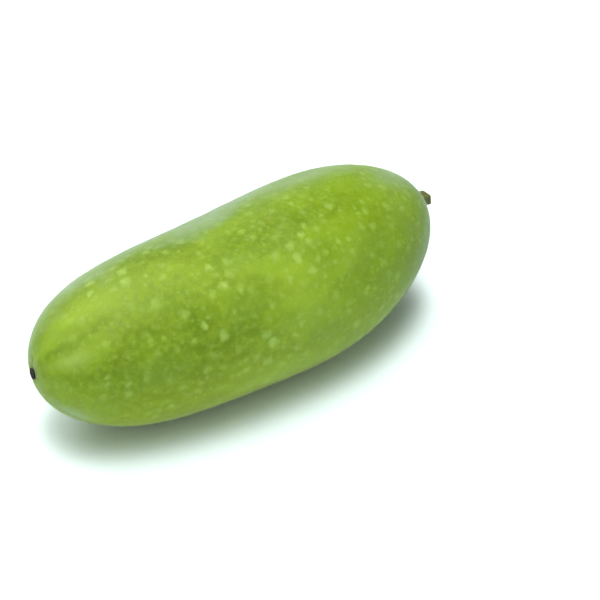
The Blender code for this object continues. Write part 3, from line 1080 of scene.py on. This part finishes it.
studio = {
    "groundSize": 8.0,
    "groundDrop": 0.0001,  # under the melon's rest spot
    "ground": colour(233, 247, 246),
    "groundShade": colour(229, 243, 244),
    "groundPatches": {"Size": 0.5, "Detail": 1.0, "Low": 0.3, "High": 0.7},
    "groundFinish": {"Roughness": 0.9},
    "azimuth": math.radians(-39.4),
    "elevation": math.radians(34.0),
    "distance": 1.4,
    "focalShare": 1994.0 / 600,  # focal length over the sensor's width
    "sensorWidth": 36,  # millimetres
    "clipStart": 0.01,
    "aimRight": 0.0365,  # from the middle of the fruit's axis, in the picture's plane
    "aimUp": -0.0042,
    "roomLight": 0.08,  # from every side
    # soft lights: turn, rise, spread, strength
    "lights": (
        (math.radians(230), math.radians(59), 0.25, 4.1),  # high behind the fruit
        (math.radians(47), math.radians(14), 0.36, 0.73),  # low in front, on the right
        (math.radians(329), math.radians(23), 0.35, 1.03),  # low in front, on the left
    ),
    "overhead": (math.radians(83), 0.255, 0.208, 17.1),  # rise, spread, spread across, strength
}


def makeStage():
    # one level square, pale in two soft tones
    half, z = studio["groundSize"] / 2, -studio["groundDrop"]
    corners = np.array([[-half, -half, z], [half, -half, z], [half, half, z], [-half, half, z]])
    material, graph, shader, solid = newMaterial("paleGround", studio["groundFinish"])
    cloudy = graph.group(clouds, Vector=solid, **studio["groundPatches"])
    connect(graph, shader, graph.blend(cloudy, studio["ground"], studio["groundShade"]))
    addMesh("ground", corners, [np.array([[0, 1, 2, 3]])], material)


def skyDirection(turn, rise):
    # a unit vector, turned from the camera's side of the fruit and raised from the ground
    heading = studio["azimuth"] - math.pi / 2 + turn
    return (math.cos(heading) * math.cos(rise), math.sin(heading) * math.cos(rise), math.sin(rise))


def makeLight():
    # a dim room with soft lights in it, each a bell over the cosine from its direction; the long
    # one overhead is also a bell over the distance across the line of sight. The camera sees white.
    world = bpy.data.worlds.new("paleRoom")
    world.use_nodes = True
    graph = Graph(world.node_tree)
    towards = graph.node("ShaderNodeTexCoord").outputs["Generated"]

    def glow(direction, spread, strength):
        near = graph.vector("DOT_PRODUCT", towards, "Value", at1=direction)
        bell = graph.math("EXPONENT", graph.math("DIVIDE", graph.math("SUBTRACT", near, 1.0), spread**2))
        return graph.times(bell, strength)

    rise, spread, spreadAcross, strength = studio["overhead"]
    across = graph.vector("DOT_PRODUCT", towards, "Value", at1=skyDirection(math.pi / 2, 0))
    away = graph.math("POWER", graph.math("DIVIDE", graph.math("ABSOLUTE", across), spreadAcross), 2.0)
    narrow = graph.math("EXPONENT", graph.times(away, -1.0))
    total = graph.times(glow(skyDirection(0, rise), spread, strength), narrow)
    total = graph.math("ADD", total, studio["roomLight"])
    for turn, rise, spread, strength in studio["lights"]:
        total = graph.math("ADD", total, glow(skyDirection(turn, rise), spread, strength))
    seen = graph.node("ShaderNodeLightPath").outputs["Is Camera Ray"]
    background = world.node_tree.nodes["Background"]
    background.inputs["Color"].default_value = (1, 1, 1, 1)
    world.node_tree.links.new(graph.math("MAXIMUM", total, seen), background.inputs["Strength"])
    bpy.context.scene.world = world


def makeCamera():
    # right, up and back are its own axes, and it looks at a point a little off the fruit's middle
    turn = studio["azimuth"]
    back = Vector(skyDirection(0, studio["elevation"]))
    right = Vector((math.cos(turn), math.sin(turn), 0))
    up = back.cross(right)
    lens = bpy.data.cameras.new("photoView")
    lens.sensor_width = studio["sensorWidth"]
    lens.lens = studio["focalShare"] * studio["sensorWidth"]
    lens.clip_start = studio["clipStart"]
    camera = bpy.data.objects.new("photoView", lens)
    place = Matrix((right, up, back)).transposed().to_4x4()
    aim = Vector(shift) + right * studio["aimRight"] + up * studio["aimUp"]
    place.translation = aim + back * studio["distance"]
    camera.matrix_world = place
    bpy.context.scene.collection.objects.link(camera)
    bpy.context.scene.camera = camera


makeStage()
makeLight()
makeCamera()
bpy.context.scene.view_settings.view_transform = "Standard"
print("stage, light and camera made")
